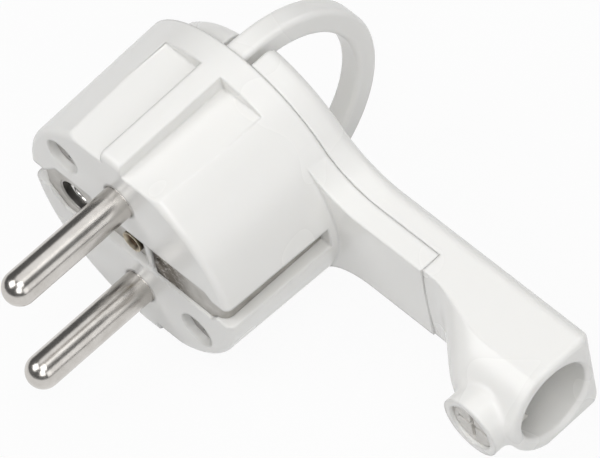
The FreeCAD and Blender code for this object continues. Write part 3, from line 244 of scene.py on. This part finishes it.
# Painted shade: the housing screw heads turn near black at the floor of their recess.
HEAD = metal("screw_head", (0.56, 0.55, 0.53), (0.42, 0.41, 0.40), 0.38, (1.0, 0.2, 1.0),
             painted_shades=[((0.06, 0.055, 0.05), 0.0, [("Y", *SCREW_FLOOR_SHADE)])])
BRASS = metal("brass", (0.64, 0.49, 0.27), (0.46, 0.34, 0.18), 0.3, (1.0, 0.1, 1.0))
# Painted shade: the eyelet turns dark down its throat.
EYELET = metal("eyelet_brass", (0.56, 0.50, 0.39), (0.34, 0.29, 0.21), 0.3, (1.0, 0.1, 1.0),
               painted_shades=[((0.10, 0.07, 0.045), 0.0, [("Y", *EYELET_THROAT_SHADE)])])

FINISHES = {
    "front_housing": SHELL, "rear_cover": SHELL, "pull_ring": SHELL,
    "pin_carrier": INNER, "cord_saddle": INNER, "clamp_screw": PALE,
    "line_pin": NICKEL, "neutral_pin": NICKEL,
    "earth_strip": SHEET, "strip_rivet": SHEET, "earth_socket": SOCKET,
    "housing_screw_upper": HEAD, "housing_screw_lower": HEAD,
    "centre_eyelet": EYELET, "screw_insert_upper": BRASS, "screw_insert_lower": BRASS,
}
for name, node in nodes.items():
    finish = FINISHES.get(name, STEEL)
    node.data.materials.clear()
    node.data.materials.append(finish)


# Contact leaf inside the earth socket

SOCKET_X = -0.0106
LEAF_FRONT, LEAF_BACK = 0.0015, 0.0105
LEAF_WALL, LEAF_BULGE, LEAF_THICKNESS = 0.0023, 0.0004, 0.00015
LEAF_MIDDLE, LEAF_SPREAD = math.radians(240.0), math.radians(48.0)
LEAF_ROWS, LEAF_COLUMNS = 24, 16


def leaf_vertices():
    """Two layers of points, the side towards the socket's axis first."""
    vertices = []
    for inset in (LEAF_THICKNESS, 0.0):
        for row in range(LEAF_ROWS + 1):
            along = row / LEAF_ROWS
            depth = LEAF_FRONT + (LEAF_BACK - LEAF_FRONT) * along
            radius = LEAF_WALL - LEAF_BULGE * math.sin(math.pi * along) - inset
            for column in range(LEAF_COLUMNS + 1):
                angle = LEAF_MIDDLE + LEAF_SPREAD * (2 * column / LEAF_COLUMNS - 1)
                vertices.append((SOCKET_X + radius * math.cos(angle), depth,
                                 radius * math.sin(angle)))
    return vertices


def leaf_faces():
    """Both sides of the sheet and the four narrow edges between them."""
    width = LEAF_COLUMNS + 1
    layer = (LEAF_ROWS + 1) * width
    faces = []
    for row in range(LEAF_ROWS):
        for column in range(LEAF_COLUMNS):
            near = row * width + column
            far = near + width
            faces.append((near, far, far + 1, near + 1))
            faces.append((layer + near, layer + near + 1, layer + far + 1, layer + far))
    for column in range(LEAF_COLUMNS):
        for start in (0, LEAF_ROWS * width):
            near = start + column
            edge = (near, near + 1, layer + near + 1, layer + near)
            faces.append(edge if start == 0 else edge[::-1])
    for row in range(LEAF_ROWS):
        for start in (0, LEAF_COLUMNS):
            near = row * width + start
            edge = (near, layer + near, layer + near + width, near + width)
            faces.append(edge if start == 0 else edge[::-1])
    return faces


def build_leaf():
    """A sprung sheet lying along the socket's wall, bulging towards its axis."""
    mesh = bpy.data.meshes.new("earth_socket_leaf")
    mesh.from_pydata(leaf_vertices(), [], leaf_faces())
    mesh.validate()
    mesh.polygons.foreach_set("use_smooth", [True] * len(mesh.polygons))
    mesh.materials.append(SPRING)
    leaf = bpy.data.objects.new("earth_socket_leaf", mesh)
    bpy.context.scene.collection.objects.link(leaf)
    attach(leaf, "root")


build_leaf()


# Stage

FLOOR_GAP = 0.0001
FLOOR_HALF = 1.2
FLOOR_DARK, FLOOR_LIGHT = (0.60, 0.60, 0.60), (0.64, 0.64, 0.64)
# How much of the floor that the camera and reflections see is plain white.
WHITE_SHARE = 0.94


def floor_material():
    """Pale floor that takes the shadow and looks almost white."""
    material, tree, shader = new_material("floor_pale")
    clouds = noise(tree, coordinates(tree), 6.0)
    tree.links.new(ramp(tree, clouds, [(0.3, FLOOR_DARK), (0.7, FLOOR_LIGHT)]),
                   shader.inputs["Base Color"])
    shader.inputs["Roughness"].default_value = 0.8
    glow = tree.nodes.new("ShaderNodeEmission")
    glow.inputs["Color"].default_value = (1.0, 1.0, 1.0, 1.0)
    glow.inputs["Strength"].default_value = 1.0
    rays = tree.nodes.new("ShaderNodeLightPath").outputs
    seen = combine(tree, "MAXIMUM", rays["Is Camera Ray"], rays["Is Glossy Ray"])
    seen = combine(tree, "MAXIMUM", seen, rays["Is Transmission Ray"])
    mix = tree.nodes.new("ShaderNodeMixShader")
    tree.links.new(span(tree, seen, 0.0, WHITE_SHARE), mix.inputs["Fac"])
    tree.links.new(shader.outputs[0], mix.inputs[1])
    tree.links.new(glow.outputs[0], mix.inputs[2])
    tree.links.new(mix.outputs[0], tree.nodes["Material Output"].inputs["Surface"])
    return material


def build_floor():
    level = cad_box[0][2] - FLOOR_GAP
    turns = ((-1, -1), (1, -1), (1, 1), (-1, 1))
    corners = [(x * FLOOR_HALF, y * FLOOR_HALF, level) for x, y in turns]
    mesh = bpy.data.meshes.new("floor")
    mesh.from_pydata(corners, [], [(0, 1, 2, 3)])
    mesh.materials.append(floor_material())
    floor = bpy.data.objects.new("floor", mesh)
    bpy.context.scene.collection.objects.link(floor)


build_floor()


# Light

AIM = Vector((0.015, 0.0, 0.0))
# Each lamp: name, place, width, height and power.
LAMPS = (
    ("top", (-0.08, 0.30, 0.80), 0.9, 0.6, 1.7),
    ("overhead", (0.30, -0.10, 0.85), 0.5, 0.5, 2.6),
    ("left", (-0.35, -0.45, 0.72), 0.55, 0.55, 3.0),
    ("right", (0.85, 0.05, 0.35), 0.5, 0.5, 1.2),
    ("camera_side", (0.55, -0.50, 0.60), 0.5, 0.5, 2.1),
    ("rear", (0.05, 0.70, 0.40), 0.5, 0.5, 0.85),
)
WORLD_LEVEL = 0.12


def add_lamp(name, place, width, height, power):
    light = bpy.data.lights.new(name, "AREA")
    light.shape = "RECTANGLE"
    light.size = width
    light.size_y = height
    light.energy = power
    lamp = bpy.data.objects.new(name, light)
    bpy.context.scene.collection.objects.link(lamp)
    lamp.location = place
    lamp.rotation_euler = (AIM - Vector(place)).to_track_quat("-Z", "Y").to_euler()


for lamp_values in LAMPS:
    add_lamp(*lamp_values)

world = bpy.data.worlds.new("studio")
bpy.context.scene.world = world
world.use_nodes = True
background = world.node_tree.nodes["Background"]
background.inputs["Color"].default_value = (1.0, 1.0, 1.0, 1.0)
background.inputs["Strength"].default_value = WORLD_LEVEL


# Camera, as fitted to the photo

CAMERA_PLACE = (0.49270, -0.30260, 0.81620)
CAMERA_RIGHT = (0.6916, 0.7109, -0.1275)
CAMERA_UP = (-0.5408, 0.6267, 0.5611)
CAMERA_BACK = (0.4788, -0.3191, 0.8179)
FOCAL_LENGTH, SENSOR_WIDTH = 473.9, 36.0

camera_data = bpy.data.cameras.new("camera")
camera_data.sensor_width = SENSOR_WIDTH
camera_data.lens = FOCAL_LENGTH
camera_data.clip_end = 10.0
camera = bpy.data.objects.new("camera", camera_data)
bpy.context.scene.collection.objects.link(camera)
turn = Matrix((CAMERA_RIGHT, CAMERA_UP, CAMERA_BACK)).transposed().to_4x4()
camera.matrix_world = Matrix.Translation(CAMERA_PLACE) @ turn
bpy.context.scene.camera = camera
bpy.context.scene.view_settings.view_transform = "Standard"
